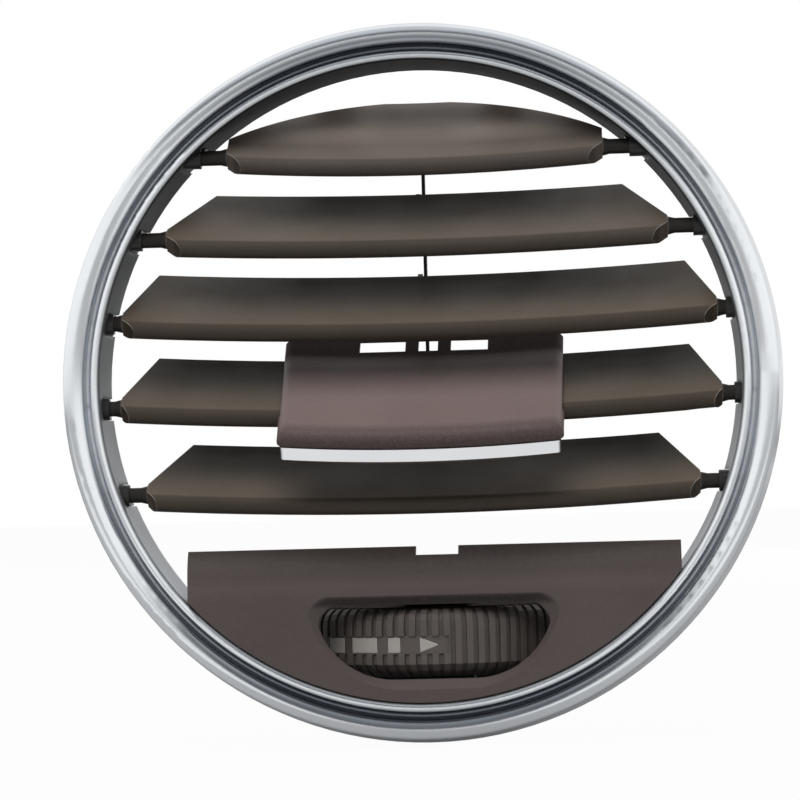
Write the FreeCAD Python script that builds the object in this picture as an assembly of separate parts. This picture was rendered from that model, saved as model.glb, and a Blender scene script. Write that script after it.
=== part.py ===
import FreeCAD
import Part
import math
import os

from FreeCAD import Placement, Rotation, Vector

# Round dashboard air vent grille.
# +X right, +Y into the dashboard, +Z up. The origin is on the ring's axis, in the plane
# of the rear seat that bears on the dashboard. All lengths are in millimetres.

# Chrome ring, with its bands counted inwards from the rear edge of the skirt
RING_R = 53.0
SKIRT_FLARE = 0.9
BEVEL_W = 1.6
BAND_W = 1.4
GROOVE_W = 0.55
BEAD_HALF = 1.05
BEAD_LIP = 0.75
THROAT_TAPER = 0.55
THROAT_WALL = 1.8
SKIRT_WALL = 1.4
PIN_TO_CREST = 4.2
PIN_TO_BEAD = 3.5
GROOVE_DEPTH = 1.5
CHANNEL_ROOF = 1.4

# Carrier ring behind the chrome ring
FLANGE_T = 1.6
PIN_TO_SEAT = 8.6
FLANGE_EDGE = 0.5
EAR_RECESS = 0.6
EAR_ZONE = 4.0
CARRIER_FIT = 0.1
CARRIER_T = 2.3

# Slats
SLAT_COUNT = 5
TOP_SLAT_DROP = 12.7
SLAT_TO_PANEL = 8.45
SLAT_PITCH_STEP = 0.31
SLAT_TILT = 32.0
SLAT_FRONT = 5.8
SLAT_REAR = 11.2
SLAT_NOSE_R = 1.35
SLAT_REAR_T = 1.2
SLAT_PLAN_R = 320.0
TOP_SLAT_PLAN_R = 160.0
SLAT_END_GAPS = (4.4, 4.2, 1.8, 2.3, 3.2)
SLAT_REAR_CUTS = (0.0, 6.9, 4.2, 4.3, 5.9)
SLAT_FRONT_CUTS = (2.4, 2.4, 2.9, 2.0, 2.0)
SLAT_ROOT = 1.1
SLAT_FRONT_SET = 1.7
SLAT_REAR_SET = 2.0
TOP_SLAT_REAR = 15.2
TOP_SLAT_ARC_R = 38.7

# Slat pins and their bushes
PIN_R = 1.1
PIN_PLAY = 0.05
BUSH_WALL = 0.4
BUSH_FIT = 0.03
BUSH_STAND = 0.5
PIN_END_ROOM = 0.3
PIN_REACH = 4.0

# Crank arms and the link that joins the slats
CRANK_S = 20.0
CRANK_N = -5.5
CRANK_PIN_R = 0.6
CRANK_PLAY = 0.05
CRANK_ARM_T = 0.7
ARM_ROOT = 2.6
LINK_T = 0.5
LINK_W = 1.6
LINK_X = 0.25
LINK_EYE_R = 1.2
LINK_GAP = 0.2
LINK_MOUTH = 1.0

# Tab that slides along a slat, counted from the top
TAB_SLAT_COUNT = 4
TAB_X = 0.2
TAB_HALF = 20.6
TAB_REAR_FLARE = 0.3
TAB_FRONT = 12.7
TAB_REAR = 14.4
TAB_BOW = 1.5
TAB_UNDER = 1.8
TAB_T = 0.9
TAB_LIP_R = 1.8
TAB_CORNER_R = 1.2
TAB_LIP_DROP = 2.1
TAB_WALL = 1.2
TAB_TRIM_H = 2.0
TAB_TRIM_T = 1.4
TAB_TRIM_PROUD = 0.25
TAB_TRIM_INSET = 0.45
TAB_TRIM_WRAP = 3.2
TAB_FIT = 0.05
TAB_BASE_T = 1.2
TAB_BASE_HALF = 18.5
TAB_BASE_REAR = 7.7
TAB_NOSE_ROOM = 0.5
TAB_TRAVEL = 10.0
WINDOW_START = 9.8
WINDOW_H = 1.5
WINDOWS = ((-9.3, -2.5), (-0.6, 2.3), (4.2, 9.7))
KEY_HALF = 5.0
KEY_FRONT = 1.5
KEY_REAR = 3.5
KEY_ROOM = 0.15
KEY_HEAD = 1.45
PAD_HALF = 4.0
PAD_FRONT = 5.0
PAD_REAR = 7.2
PAD_SINK = 0.5

# Lower panel, its heights counted from the bottom of the throat
PANEL_H = 22.2
PANEL_X = 1.35
PANEL_SIDE_GAP = 3.6
PANEL_GAP = 0.15
PANEL_T = 2.0
PANEL_FACE = 3.4
PANEL_ROLL = 4.6
PANEL_ROLL_BACK = 2.4
NOTCH_X = 0.45
NOTCH_W = 6.2
NOTCH_DEPTH = 1.25
EAR_ANGLES = (-46.0, -134.0)
EAR_W = 7.0
EAR_T = 1.5
LEG_T = 1.6

# Thumbwheel in the panel
WHEEL_X = 1.3
WHEEL_R = 22.0
WHEEL_LIFT = 3.2
WHEEL_H = 10.1
WHEEL_RECESS = 0.6
WHEEL_SECTOR = 72.0
WHEEL_WALL = 2.4
WHEEL_WEB_T = 1.8
WHEEL_TURN = 25.0
SHOULDER = 2.4
TAPER_H = 1.9
TAPER_W = 3.0
RIDGE_PITCH = 4.43
RIDGE_W = 0.95
RIDGE_H = 0.55
BAND_DEPTH = 4.1
BAND_H = 2.6
BAND_END = 5.1
BAND_DROP = 0.25
SLOT_LEFT = -15.7
SLOT_RIGHT = 18.0
SLOT_ROOM_TOP = 0.5
SLOT_ROOM_BOTTOM = 0.25
SLOT_CORNER_R = 3.0
SLOT_FLAT = 6.0
SLOT_DISH = 1.4

# Wheel axle and its bracket
AXLE_R = 1.5
AXLE_PLAY = 0.05
AXLE_HEAD = 0.6
HUB_R = 3.6
BRACKET_T = 1.4
BRACKET_GAP = 0.35
BRACKET_HALF = 5.0
BRACKET_FLANGE_HALF = 12.0
BRACKET_FLANGE_H = 6.9
BRACKET_WALL_HALF = 21.5
BRACKET_EDGE = 0.6
BOSS_H = 2.2
BOSS_R = 2.0
BRACKET_SCREW_X = 9.0
WASHER_T = 0.3
WASHER_ROOM = 0.02
PEG_R = 1.2
PEG_SEAT = 9.0
PEG_H = 3.0

# Fasteners
SCREW_R = 0.9
SCREW_HEAD_R = 1.6
SCREW_HEAD_T = 0.9
SCREW_PLAY = 0.05
SCREW_SINK = 0.1
EAR_SCREW_LENGTH = 5.0
BRACKET_SCREW_LENGTH = 4.0
RING_SCREW_ANGLES = (90.0, 60.0, 120.0, -64.0, -116.0, -90.0)
RING_SCREW_LENGTH = 6.5
RING_BOSS_HALF = 2.3

# Snap hooks that hold the grille in the dashboard
HOOK_ANGLES = (75.0, 105.0, -30.0, -150.0)
HOOK_INSET = 1.1
HOOK_W = 6.0
HOOK_REACH = 9.0
HOOK_BARB = 1.1
HOOK_T = 1.5

# Places worked out from the sizes above
PIN_Y = -PIN_TO_SEAT
RIM_Y = -FLANGE_T
CREST_Y = PIN_Y - PIN_TO_CREST
BEAD_Y = PIN_Y - PIN_TO_BEAD
SKIRT_R = RING_R - SKIRT_FLARE
CREST_R = SKIRT_R - BEVEL_W
LAND_R = CREST_R - BAND_W
GROOVE_R = LAND_R - GROOVE_W
BEAD_R = GROOVE_R - BEAD_HALF
THROAT_FRONT_R = BEAD_R - BEAD_LIP
THROAT_R = THROAT_FRONT_R - THROAT_TAPER
BUSH_R = PIN_R + PIN_PLAY + BUSH_WALL
CHANNEL_IN_R = THROAT_R + THROAT_WALL
CHANNEL_OUT_R = SKIRT_R - SKIRT_WALL
CARRIER_IN_R = CHANNEL_IN_R + CARRIER_FIT
CARRIER_OUT_R = CARRIER_IN_R + CARRIER_T
FLANGE_IN_R = CHANNEL_IN_R - THROAT_WALL / 2
SCREW_RING_R = (CARRIER_IN_R + CARRIER_OUT_R) / 2
EAR_SCREW_R = FLANGE_IN_R + EAR_ZONE / 2
PIN_OUTER_R = THROAT_R + PIN_REACH
TOP_SLAT_Z = THROAT_R - TOP_SLAT_DROP
PANEL_TOP_Z = PANEL_H - THROAT_R
BOTTOM_SLAT_Z = PANEL_TOP_Z + SLAT_TO_PANEL
GAP_COUNT = SLAT_COUNT - 1
STEPS = GAP_COUNT * (GAP_COUNT - 1) / 2
SLAT_PITCH = (TOP_SLAT_Z - BOTTOM_SLAT_Z - STEPS * SLAT_PITCH_STEP) / GAP_COUNT
PANEL_HALF = math.sqrt(THROAT_R ** 2 - PANEL_TOP_Z ** 2) - PANEL_SIDE_GAP
PANEL_FACE_Y = PIN_Y - PANEL_FACE
WHEEL_BOTTOM_Z = WHEEL_LIFT - THROAT_R
WHEEL_TOP_Z = WHEEL_BOTTOM_Z + WHEEL_H
WHEEL_AXIS_Y = PANEL_FACE_Y + WHEEL_RECESS + WHEEL_R
BAND_TOP_Z = WHEEL_TOP_Z - BAND_DEPTH
BAND_BOTTOM_Z = BAND_TOP_Z - BAND_H
SLOT_TOP_Z = WHEEL_TOP_Z + SLOT_ROOM_TOP
SLOT_BOTTOM_Z = WHEEL_BOTTOM_Z - SLOT_ROOM_BOTTOM
BRACKET_Y = PANEL_FACE_Y + PANEL_T + BOSS_H
BRACKET_TOP_Z = WHEEL_TOP_Z + BRACKET_GAP
BRACKET_LOW_Z = WHEEL_BOTTOM_Z - BRACKET_GAP
BRACKET_SCREW_Z = BRACKET_TOP_Z + BRACKET_FLANGE_H / 2
TAB_TRIM_TOP = TAB_UNDER + TAB_T - TAB_LIP_DROP - TAB_FIT
TAB_TRIM_LOW = TAB_TRIM_TOP - TAB_TRIM_H
TRAY_TOP = -SLAT_NOSE_R - 0.35

X_AXIS = Vector(1, 0, 0)
Y_AXIS = Vector(0, 1, 0)
Z_AXIS = Vector(0, 0, 1)


def slat_z(index):
    """Height of a slat's pin axis; the pitch widens a little downwards."""
    return TOP_SLAT_Z - index * SLAT_PITCH - index * (index - 1) / 2 * SLAT_PITCH_STEP


SLAT_Z = [slat_z(i) for i in range(SLAT_COUNT)]


def chord_x(radius, z):
    return math.sqrt(radius * radius - z * z)


def face_from(points, arcs=None):
    """Closed planar face through the points; arcs maps a point's index to the mid point
    of the arc that runs from it to the next point."""
    arcs = arcs or {}
    edges = []
    for i, start in enumerate(points):
        end = points[(i + 1) % len(points)]
        if i in arcs:
            edges.append(Part.Arc(start, arcs[i], end).toShape())
        else:
            edges.append(Part.makeLine(start, end))
    return Part.Face(Part.Wire(edges))


def turned(points, arcs=None):
    """Ring turned about the Y axis from a section given as radius and y pairs."""
    section = [Vector(r, y, 0) for r, y in points]
    mids = {i: Vector(r, y, 0) for i, (r, y) in (arcs or {}).items()}
    return face_from(section, mids).revolve(Vector(0, 0, 0), Y_AXIS, 360)


def tube_y(inner_r, outer_r, y0, y1):
    outer = Part.makeCylinder(outer_r, y1 - y0, Vector(0, y0, 0), Y_AXIS)
    return outer.cut(Part.makeCylinder(inner_r, y1 - y0, Vector(0, y0, 0), Y_AXIS))


def box(x0, x1, y0, y1, z0, z1):
    return Part.makeBox(x1 - x0, y1 - y0, z1 - z0, Vector(x0, y0, z0))


def at_angle(shape, degrees):
    """Turn a shape made at +X about the ring's axis; 90 degrees is the top."""
    turned_shape = shape.copy()
    turned_shape.rotate(Vector(0, 0, 0), Y_AXIS, -degrees)
    return turned_shape


def sector(half, y0=-RING_R, y1=RING_R):
    """Slab at +X that picks a short piece out of a ring."""
    return box(THROAT_R / 2, RING_R * 1.2, y0, y1, -half, half)


def one_solid(shape):
    shape = shape.removeSplitter()
    return shape.Solids[0] if len(shape.Solids) == 1 else shape


def in_slat(shape, index):
    """Move a shape from a slat's own frame (X, chord, normal) to its place."""
    placed = shape.copy()
    placed.rotate(Vector(0, 0, 0), X_AXIS, SLAT_TILT)
    placed.translate(Vector(0, PIN_Y, SLAT_Z[index]))
    return placed


def pin_outer_x(index):
    """Where a slat pin ends inside the carrier."""
    return chord_x(PIN_OUTER_R, abs(SLAT_Z[index]) + BUSH_R)


def throat_x(index):
    return chord_x(THROAT_R, SLAT_Z[index])


# Chrome ring

def chrome_ring():
    groove_y = BEAD_Y + GROOVE_DEPTH
    roof_y = groove_y + CHANNEL_ROOF
    points = [
        (RING_R, RIM_Y),
        (RING_R, RIM_Y - 1.4),
        (SKIRT_R, CREST_Y + 2.2),
        (CREST_R, CREST_Y),
        (LAND_R, CREST_Y + 1.0),
        (GROOVE_R + 0.25, groove_y),
        (GROOVE_R - 0.25, groove_y),
        (GROOVE_R - 0.35, BEAD_Y + 0.7),
        (THROAT_FRONT_R, BEAD_Y + 0.9),
        (THROAT_R, RIM_Y),
        (CHANNEL_IN_R, RIM_Y),
        (CHANNEL_IN_R, roof_y),
        (CHANNEL_OUT_R - 0.2, roof_y),
        (CHANNEL_OUT_R, RIM_Y),
    ]
    arcs = {
        2: (SKIRT_R - 0.45, CREST_Y + 0.6),
        3: (LAND_R + 0.75, CREST_Y + 0.25),
        7: (BEAD_R, BEAD_Y),
    }
    ring = turned(points, arcs)
    boss_ring = tube_y(CHANNEL_IN_R - 0.2, CHANNEL_OUT_R, roof_y - 0.2, RIM_Y - CARRIER_FIT)
    boss = boss_ring.common(sector(RING_BOSS_HALF))
    hole = Part.makeCylinder(SCREW_R + SCREW_PLAY, RING_SCREW_LENGTH,
                             Vector(SCREW_RING_R, RIM_Y - RING_SCREW_LENGTH + 0.1, 0), Y_AXIS)
    ring = ring.fuse([at_angle(boss, a) for a in RING_SCREW_ANGLES])
    ring = ring.cut([at_angle(hole, a) for a in RING_SCREW_ANGLES])
    for index in range(SLAT_COUNT):
        for side in (-1, 1):
            ring = ring.cut(pin_slot(index, side))
    return one_solid(ring)


def pin_slot(index, side):
    """Slot in the throat wall, open to the rear, with a round end in front of the bush."""
    radius = BUSH_R + PIN_PLAY
    z = SLAT_Z[index]
    start = throat_x(index) - 3.0
    length = pin_outer_x(index) + PIN_END_ROOM - start
    x0 = start if side > 0 else -start - length
    bar = box(x0, x0 + length, PIN_Y, 1.0, z - radius, z + radius)
    rod = Part.makeCylinder(radius, length, Vector(x0, PIN_Y, z), X_AXIS)
    return bar.fuse(rod)


# Carrier ring with the rear halves of the pin seats

def carrier_ring():
    body = tube_y(CARRIER_IN_R, CARRIER_OUT_R, PIN_Y, RIM_Y)
    flange = tube_y(FLANGE_IN_R, RING_R - FLANGE_EDGE, RIM_Y, 0)
    pocket = tube_y(FLANGE_IN_R - 1, FLANGE_IN_R + EAR_ZONE, -EAR_RECESS, 1)
    pocket = pocket.common(sector(EAR_W / 2 + CARRIER_FIT))
    boss_room = sector(RING_BOSS_HALF + CARRIER_FIT, PIN_Y - 1, RIM_Y)
    body = body.cut([at_angle(boss_room, a) for a in RING_SCREW_ANGLES])
    body = body.fuse([pin_tongue(i, side) for i in range(SLAT_COUNT) for side in (-1, 1)])
    ring = body.fuse(flange.cut([at_angle(pocket, a) for a in EAR_ANGLES]))
    ring = ring.fuse([at_angle(snap_hook(FLANGE_IN_R + HOOK_INSET), a) for a in HOOK_ANGLES])
    hole = Part.makeCylinder(SCREW_R + SCREW_PLAY, FLANGE_T + 1, Vector(SCREW_RING_R, RIM_Y - 0.5, 0), Y_AXIS)
    sink = Part.makeCylinder(SCREW_HEAD_R + SCREW_PLAY, SCREW_HEAD_T + 1,
                             Vector(SCREW_RING_R, -SCREW_HEAD_T - SCREW_SINK, 0), Y_AXIS)
    ring = ring.cut([at_angle(hole.fuse(sink), a) for a in RING_SCREW_ANGLES])
    ear_hole = Part.makeCylinder(SCREW_R + SCREW_PLAY, EAR_SCREW_LENGTH + 2,
                                 Vector(EAR_SCREW_R, -EAR_SCREW_LENGTH - 1, 0), Y_AXIS)
    ring = ring.cut([at_angle(ear_hole, a) for a in EAR_ANGLES])
    return one_solid(ring.cut([bush_seat(i, side) for i in range(SLAT_COUNT) for side in (-1, 1)]))


def pin_tongue(index, side):
    """Finger that fills the throat slot behind a bush."""
    half = BUSH_R + PIN_PLAY - CARRIER_FIT
    z = SLAT_Z[index]
    band = tube_y(THROAT_R + 0.3, CARRIER_IN_R + 0.5, PIN_Y, RIM_Y)
    x0, x1 = (0, RING_R) if side > 0 else (-RING_R, 0)
    return band.common(box(x0, x1, PIN_Y, RIM_Y, z - half, z + half))


def bush_seat(index, side):
    start = throat_x(index) - 3.0
    length = pin_outer_x(index) + PIN_END_ROOM - start
    x0 = start if side > 0 else -start - length
    return Part.makeCylinder(BUSH_R + BUSH_FIT, length, Vector(x0, PIN_Y, SLAT_Z[index]), X_AXIS)


def snap_hook(root_r):
    """Springy leg behind the flange with a barb that points outwards."""
    half = HOOK_W / 2
    outer = root_r + HOOK_T
    points = [
        Vector(root_r, RIM_Y, -half),
        Vector(outer, RIM_Y, -half),
        Vector(outer, HOOK_REACH - 3.4, -half),
        Vector(outer + HOOK_BARB, HOOK_REACH - 2.8, -half),
        Vector(outer + HOOK_BARB, HOOK_REACH - 2.2, -half),
        Vector(outer - 0.5, HOOK_REACH, -half),
        Vector(root_r, HOOK_REACH, -half),
    ]
    return face_from(points).extrude(Vector(0, 0, HOOK_W))


# Slats

def slat_section(rear):
    """Section across a slat: round nose in front, thin square edge behind."""
    nose_s = -SLAT_FRONT + SLAT_NOSE_R
    rear_half = SLAT_REAR_T / 2
    points = [
        Vector(0, nose_s, SLAT_NOSE_R),
        Vector(0, nose_s, -SLAT_NOSE_R),
        Vector(0, rear - 0.4, -rear_half),
        Vector(0, rear, -rear_half + 0.4),
        Vector(0, rear, rear_half - 0.4),
        Vector(0, rear - 0.4, rear_half),
    ]
    return face_from(points, {0: Vector(0, -SLAT_FRONT, 0)})


def slat_plate(index):
    """Slat blade bowed towards the driver, with its ends cut to the round opening."""
    top = index == 0
    rear = TOP_SLAT_REAR if top else SLAT_REAR
    plan_r = TOP_SLAT_PLAN_R if top else SLAT_PLAN_R
    end = slat_end(index)
    centre = Vector(0, plan_r - SLAT_FRONT, 0)
    sweep = math.degrees(math.asin((end + 3) / (plan_r - SLAT_FRONT - TOP_SLAT_REAR)))
    section = slat_section(rear)
    section.rotate(centre, Z_AXIS, -sweep)
    blade = section.revolve(centre, Z_AXIS, 2 * sweep)
    right = [
        beyond((end, -SLAT_ROOT), (end - SLAT_FRONT_CUTS[index], -SLAT_FRONT + SLAT_FRONT_SET)),
        (end, -SLAT_ROOT),
        (end, SLAT_ROOT),
        beyond((end, SLAT_ROOT), (end - SLAT_REAR_CUTS[index], rear + SLAT_REAR_SET)),
    ]
    outline = right + [(-x, s) for x, s in reversed(right)]
    plan = face_from([Vector(x, s, -5) for x, s in outline]).extrude(Vector(0, 0, 10))
    blade = blade.common(plan)
    if top:
        disc = Part.makeCylinder(TOP_SLAT_ARC_R, 10, Vector(0, rear - TOP_SLAT_ARC_R, -5), Z_AXIS)
        blade = blade.common(disc)
    return blade


def slat_end(index):
    return throat_x(index) - SLAT_END_GAPS[index]


def beyond(start, corner):
    """Point on the line from start through corner, a little past the blade's edge."""
    return tuple(a + (b - a) * 1.6 for a, b in zip(start, corner))


def crank_arm(rear):
    """Thin arm behind the slat with the pin that carries the link."""
    x1 = LINK_X - LINK_T / 2 - LINK_GAP
    x0 = x1 - CRANK_ARM_T
    hub = LINK_EYE_R
    points = [
        Vector(x0, rear - ARM_ROOT, 0),
        Vector(x0, rear - ARM_ROOT, -SLAT_REAR_T / 2 - 0.8),
        Vector(x0, CRANK_S - hub * 0.6, CRANK_N - hub * 0.75),
        Vector(x0, CRANK_S + hub * 0.75, CRANK_N + hub * 0.6),
        Vector(x0, rear - 0.5, 0),
    ]
    arm = face_from(points).extrude(Vector(CRANK_ARM_T, 0, 0))
    boss = Part.makeCylinder(hub, CRANK_ARM_T, Vector(x0, CRANK_S, CRANK_N), X_AXIS)
    pin = Part.makeCylinder(CRANK_PIN_R, CRANK_ARM_T + LINK_GAP * 2 + LINK_T + 0.5,
                            Vector(x0, CRANK_S, CRANK_N), X_AXIS)
    return arm.fuse([boss, pin])


def slat(index):
    rear = TOP_SLAT_REAR if index == 0 else SLAT_REAR
    blade = slat_plate(index)
    end = slat_end(index)
    outer = pin_outer_x(index)
    blade = blade.fuse(Part.makeCylinder(PIN_R, 2 * outer, Vector(-outer, 0, 0), X_AXIS).cut(
        box(-end + 2.5, end - 2.5, -PIN_R, PIN_R, -PIN_R, PIN_R)))
    for side in (-1, 1):
        cone = Part.makeCone(PIN_R + 0.25, PIN_R, 1.0, Vector(side * end, 0, 0), Vector(side, 0, 0))
        blade = blade.fuse(cone)
    blade = blade.fuse(crank_arm(rear))
    if index == TAB_SLAT_COUNT - 1:
        half = KEY_HALF + TAB_TRAVEL + 1.0
        blade = blade.cut(box(-half, half, KEY_FRONT - KEY_ROOM, KEY_REAR + KEY_ROOM, -3, 3))
    return one_solid(in_slat(blade, index))


def slat_bushes():
    """Black sleeves on the slat pins, gripped between the two rings."""
    sleeves = []
    for index in range(SLAT_COUNT):
        x0 = throat_x(index) - BUSH_STAND
        length = pin_outer_x(index) - x0
        sleeve = Part.makeCylinder(BUSH_R, length, Vector(x0, PIN_Y, SLAT_Z[index]), X_AXIS)
        bore = Part.makeCylinder(PIN_R + PIN_PLAY, length, Vector(x0, PIN_Y, SLAT_Z[index]), X_AXIS)
        sleeve = sleeve.cut(bore)
        sleeves.append(sleeve)
        sleeves.append(sleeve.mirror(Vector(0, 0, 0), X_AXIS))
    return Part.makeCompound(sleeves)


# Link bar

def crank_place(index):
    """Where the crank pin of a slat stands, as y and z."""
    tilt = math.radians(SLAT_TILT)
    y = PIN_Y + CRANK_S * math.cos(tilt) - CRANK_N * math.sin(tilt)
    z = SLAT_Z[index] + CRANK_S * math.sin(tilt) + CRANK_N * math.cos(tilt)
    return y, z


def link_bar():
    x0 = LINK_X - LINK_T / 2
    y, top = crank_place(0)
    bottom = crank_place(SLAT_COUNT - 1)[1]
    bar = box(x0, x0 + LINK_T, y - LINK_W / 2, y + LINK_W / 2, bottom, top)
    for index in range(SLAT_COUNT):
        z = crank_place(index)[1]
        bar = bar.fuse(Part.makeCylinder(LINK_EYE_R, LINK_T, Vector(x0, y, z), X_AXIS))
    for index in range(SLAT_COUNT):
        z = crank_place(index)[1]
        bore = Part.makeCylinder(CRANK_PIN_R + CRANK_PLAY, LINK_T, Vector(x0, y, z), X_AXIS)
        mouth = box(x0, x0 + LINK_T, y - LINK_EYE_R - 1, y, z - LINK_MOUTH / 2, z + LINK_MOUTH / 2)
        bar = bar.cut(bore).cut(mouth)
    return one_solid(bar)


# Tab, in the frame of the slat that carries it

def tab_plan(half, flare, front, rear, bow, n0, n1):
    """Plan of the tab: straight rear edge and a bowed front edge."""
    points = [
        Vector(TAB_X - half - flare, rear, n0),
        Vector(TAB_X - half, -front, n0),
        Vector(TAB_X + half, -front, n0),
        Vector(TAB_X + half + flare, rear, n0),
    ]
    arcs = {1: Vector(TAB_X, -front - bow, n0)} if bow > 0 else {}
    return face_from(points, arcs).extrude(Vector(0, 0, n1 - n0))


def tab_cover():
    top = TAB_UNDER + TAB_T
    lip_end = top - TAB_LIP_DROP
    shell = tab_plan(TAB_HALF, TAB_REAR_FLARE, TAB_FRONT, TAB_REAR, TAB_BOW, lip_end, top)
    corners = [e for e in shell.Edges if is_upright(e) and e.BoundBox.YMax < 0]
    shell = shell.makeFillet(TAB_CORNER_R, corners)
    shell = shell.makeFillet(TAB_LIP_R, [e for e in shell.Edges if on_cover_front(e, top)])
    hollow = tab_plan(TAB_HALF - TAB_WALL, 0, TAB_FRONT - TAB_WALL, TAB_REAR + 5, TAB_BOW, lip_end - 1, TAB_UNDER)
    over_slat = box(-RING_R, RING_R, -SLAT_FRONT - TAB_NOSE_ROOM, TAB_REAR + 1, lip_end - 1, TAB_UNDER)
    shell = one_solid(in_slat(shell.cut([hollow, over_slat]), TAB_SLAT_COUNT - 1))
    window_z = in_slat(Part.Vertex(0, WINDOW_START, top), TAB_SLAT_COUNT - 1).Z
    for left, right in WINDOWS:
        shell = shell.cut(box(left, right, PIN_Y, RING_R, window_z, window_z + WINDOW_H))
    return one_solid(shell)


def is_upright(edge):
    box_ = edge.BoundBox
    return box_.XLength < 1e-4 and box_.YLength < 1e-4


def on_cover_front(edge, top):
    """Front, corner and side edges of the cover's top face."""
    box_ = edge.BoundBox
    flat = abs(box_.ZMin - top) < 1e-4 and abs(box_.ZMax - top) < 1e-4
    return flat and box_.YMin < TAB_REAR - 0.5


def tab_trim():
    front = TAB_FRONT + TAB_TRIM_PROUD
    half = TAB_HALF - TAB_TRIM_INSET
    rear = TAB_TRIM_WRAP - TAB_FRONT
    outer = tab_plan(half, 0, front, rear, TAB_BOW, TAB_TRIM_LOW, TAB_TRIM_TOP)
    inner = tab_plan(half - TAB_TRIM_T, 0, front - TAB_TRIM_T, rear + 1, TAB_BOW, TAB_TRIM_LOW - 1, TAB_TRIM_TOP + 1)
    corners = [e for e in outer.Edges if is_upright(e) and e.BoundBox.YMax < rear - 1]
    outer = outer.makeFillet(TAB_CORNER_R / 2, corners)
    return one_solid(in_slat(outer.cut(inner), TAB_SLAT_COUNT - 1))


def tab_base():
    """Lower half of the tab: front wall behind the trim, tray under the slat, guide key."""
    wall_half = TAB_HALF - TAB_TRIM_INSET - TAB_TRIM_T - TAB_FIT
    wall_front = TAB_FRONT + TAB_TRIM_PROUD - TAB_TRIM_T - TAB_FIT
    wall_rear = -SLAT_FRONT - TAB_NOSE_ROOM
    low = TAB_TRIM_LOW - TAB_BASE_T
    front_wall = tab_plan(wall_half, 0, wall_front, wall_rear, TAB_BOW, low, TAB_UNDER - TAB_FIT)
    core = tab_plan(wall_half - TAB_WALL, 0, wall_front - TAB_WALL, wall_rear - TAB_WALL, TAB_BOW,
                    TAB_TRIM_LOW, TAB_UNDER + 1)
    tray = box(TAB_X - TAB_BASE_HALF, TAB_X + TAB_BASE_HALF, wall_rear - TAB_WALL, TAB_BASE_REAR, low, TRAY_TOP)
    key = box(-KEY_HALF, KEY_HALF, KEY_FRONT, KEY_REAR, TRAY_TOP - 0.5, KEY_HEAD)
    pad_room = box(-PAD_HALF - TAB_FIT, PAD_HALF + TAB_FIT, PAD_FRONT - TAB_FIT, PAD_REAR + TAB_FIT,
                   TRAY_TOP - PAD_SINK, TRAY_TOP + 1)
    base = front_wall.cut(core).fuse([tray, key]).cut(pad_room)
    return one_solid(in_slat(base, TAB_SLAT_COUNT - 1))


def tab_pad():
    """Rubber pad in the tray that drags on the slat's underside."""
    taper = (SLAT_NOSE_R - SLAT_REAR_T / 2) / (SLAT_REAR + SLAT_FRONT - SLAT_NOSE_R)
    under = -SLAT_NOSE_R + taper * (PAD_FRONT + SLAT_FRONT - SLAT_NOSE_R)
    pad = box(-PAD_HALF, PAD_HALF, PAD_FRONT, PAD_REAR, TRAY_TOP - PAD_SINK, under - TAB_FIT)
    return in_slat(pad, TAB_SLAT_COUNT - 1)


# Lower panel

def panel_section(offset):
    """Line of the panel's section, moved back by an offset: top edge, roll, flat face."""
    face = PANEL_FACE_Y + offset
    return [
        Vector(0, face + PANEL_ROLL_BACK, PANEL_TOP_Z),
        Vector(0, face, PANEL_TOP_Z - PANEL_ROLL),
        Vector(0, face, -RING_R),
    ]


def panel_wall(x0, x1):
    front = panel_section(0)
    back = panel_section(PANEL_T)
    roll_y = PANEL_ROLL_BACK * 0.27
    roll_z = PANEL_TOP_Z - PANEL_ROLL * 0.46
    points = [front[0], front[1], front[2], back[2], back[1], back[0]]
    arcs = {0: Vector(0, front[1].y + roll_y, roll_z), 4: Vector(0, back[1].y + roll_y, roll_z)}
    wall = face_from(points, arcs)
    wall.translate(Vector(x0, 0, 0))
    return wall.extrude(Vector(x1 - x0, 0, 0))


def throat_cone(gap):
    """Solid that fills the throat, taper and all, but for a gap."""
    slope = THROAT_TAPER / (RIM_Y - BEAD_Y - 0.9)
    front = 2 * CREST_Y
    reach = RIM_Y - front
    return Part.makeCone(THROAT_R + slope * reach - gap, THROAT_R - gap, reach, Vector(0, front, 0), Y_AXIS)


def slot_outline(grow, y):
    """Boat-shaped wheel slot: straight top, round ends, bottom that follows the ring."""
    left = SLOT_LEFT - grow
    right = SLOT_RIGHT + grow
    top = SLOT_TOP_Z + grow
    bottom = SLOT_BOTTOM_Z - grow
    shoulder = top - SLOT_CORNER_R
    middle = (left + right) / 2
    flat = SLOT_FLAT
    c = SLOT_CORNER_R * (1 - math.sqrt(0.5))
    lower_x = (right - left) / 2 * 0.80
    lower_z = (shoulder + bottom) / 2 - 1.1
    points = [
        Vector(left + SLOT_CORNER_R, y, top),
        Vector(right - SLOT_CORNER_R, y, top),
        Vector(right, y, shoulder),
        Vector(middle + flat, y, bottom),
        Vector(middle - flat, y, bottom),
        Vector(left, y, shoulder),
    ]
    arcs = {
        1: Vector(right - c, y, top - c),
        2: Vector(middle + lower_x, y, lower_z),
        4: Vector(middle - lower_x, y, lower_z),
        5: Vector(left + c, y, top - c),
    }
    return face_from(points, arcs)


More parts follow.
